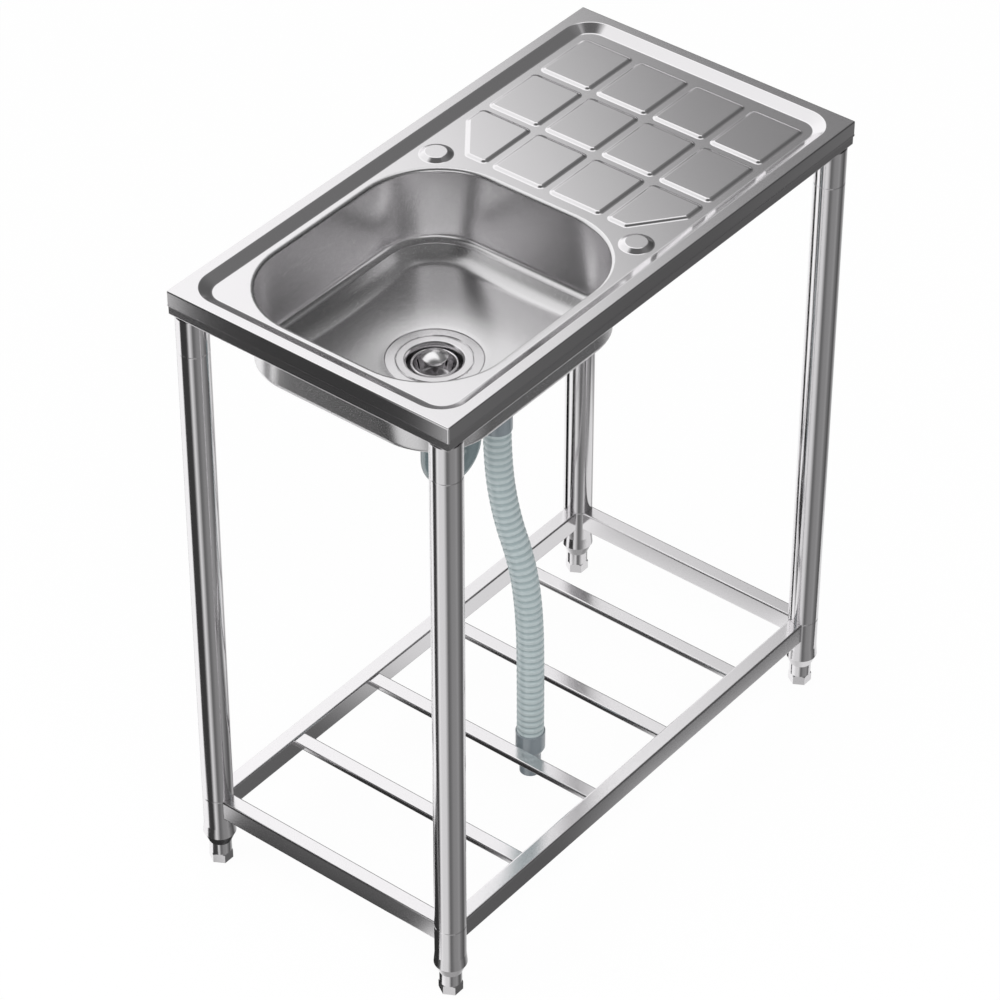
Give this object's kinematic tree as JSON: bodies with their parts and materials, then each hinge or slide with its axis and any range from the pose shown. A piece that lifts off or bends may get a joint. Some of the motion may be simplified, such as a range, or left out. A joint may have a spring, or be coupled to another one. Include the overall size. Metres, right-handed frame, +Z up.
{
  "type": "kitchen sink unit",
  "caption": "Free-standing steel kitchen sink with drainboard on a tubular leg stand with a slatted shelf, basket strainer, trap and ribbed drain hose.",
  "frame": {"origin": "on the floor under the middle of the deck", "axes": "+Z up, +X along the unit from the bowl to the drainboard, front at -Y"},
  "size_m": [0.7524, 0.4024, 0.855],
  "materials": {
    "deck_steel": "satin pressed sheet",
    "bowl_steel": "satin drawn sheet",
    "frame_steel": "satin tube",
    "tube_steel": "polished tube",
    "foot_steel": "polished turned steel",
    "waste_chrome": "bright",
    "seal_rubber": "matte",
    "waste_plastic": "moulded",
    "trap_plastic": "smooth moulded",
    "fitting_plastic": "moulded",
    "hose_plastic": "ribbed"
  },
  "bodies": {
    "stand": {"sink_deck": "deck_steel", "sink_bowl": "bowl_steel", "top_rail_front": "frame_steel", "shelf_rail_front": "frame_steel", "top_rail_right": "frame_steel", "shelf_rail_right": "frame_steel", "top_rail_back": "frame_steel", "shelf_rail_back": "frame_steel", "top_rail_left": "frame_steel", "shelf_rail_left": "frame_steel", "leg_socket_front_left": "tube_steel", "leg_tube_front_left": "tube_steel", "shelf_corner_front_left": "tube_steel", "foot_collar_front_left": "foot_steel", "leg_socket_front_right": "tube_steel", "leg_tube_front_right": "tube_steel", "shelf_corner_front_right": "tube_steel", "foot_collar_front_right": "foot_steel", "leg_socket_back_left": "tube_steel", "leg_tube_back_left": "tube_steel", "shelf_corner_back_left": "tube_steel", "foot_collar_back_left": "foot_steel", "leg_socket_back_right": "tube_steel", "leg_tube_back_right": "tube_steel", "shelf_corner_back_right": "tube_steel", "foot_collar_back_right": "foot_steel", "shelf_slat_1": "frame_steel", "shelf_slat_2": "frame_steel", "shelf_slat_3": "frame_steel", "shelf_slat_4": "frame_steel", "strainer_flange": "waste_chrome", "strainer_gasket": "seal_rubber", "strainer_body": "waste_plastic", "strainer_screw": "waste_chrome", "trap": "trap_plastic", "trap_washer": "seal_rubber", "trap_nut": "fitting_plastic", "hose_cuff": "fitting_plastic", "drain_hose": "hose_plastic", "hose_adapter": "fitting_plastic"},
    "foot_front_left_body": {"foot_front_left": "foot_steel"},
    "foot_front_right_body": {"foot_front_right": "foot_steel"},
    "foot_back_left_body": {"foot_back_left": "foot_steel"},
    "foot_back_right_body": {"foot_back_right": "foot_steel"},
    "basket": {"strainer_basket": "waste_chrome", "basket_post": "waste_chrome", "basket_knob": "waste_chrome", "basket_seal": "seal_rubber"}
  },
  "joints": [
    {"name": "foot_screw_front_left", "type": "slide", "parent": "stand", "child": "foot_front_left_body", "axis": [0, 0, 1], "range_m": [-0.015, 0.015]},
    {"name": "foot_screw_front_right", "type": "slide", "parent": "stand", "child": "foot_front_right_body", "axis": [0, 0, 1], "range_m": [-0.015, 0.015]},
    {"name": "foot_screw_back_left", "type": "slide", "parent": "stand", "child": "foot_back_left_body", "axis": [0, 0, 1], "range_m": [-0.015, 0.015]},
    {"name": "foot_screw_back_right", "type": "slide", "parent": "stand", "child": "foot_back_right_body", "axis": [0, 0, 1], "range_m": [-0.015, 0.015]},
    {"name": "basket_lift", "type": "slide", "parent": "stand", "child": "basket", "axis": [0, 0, 1], "range_m": [0, 0.15]}
  ]
}
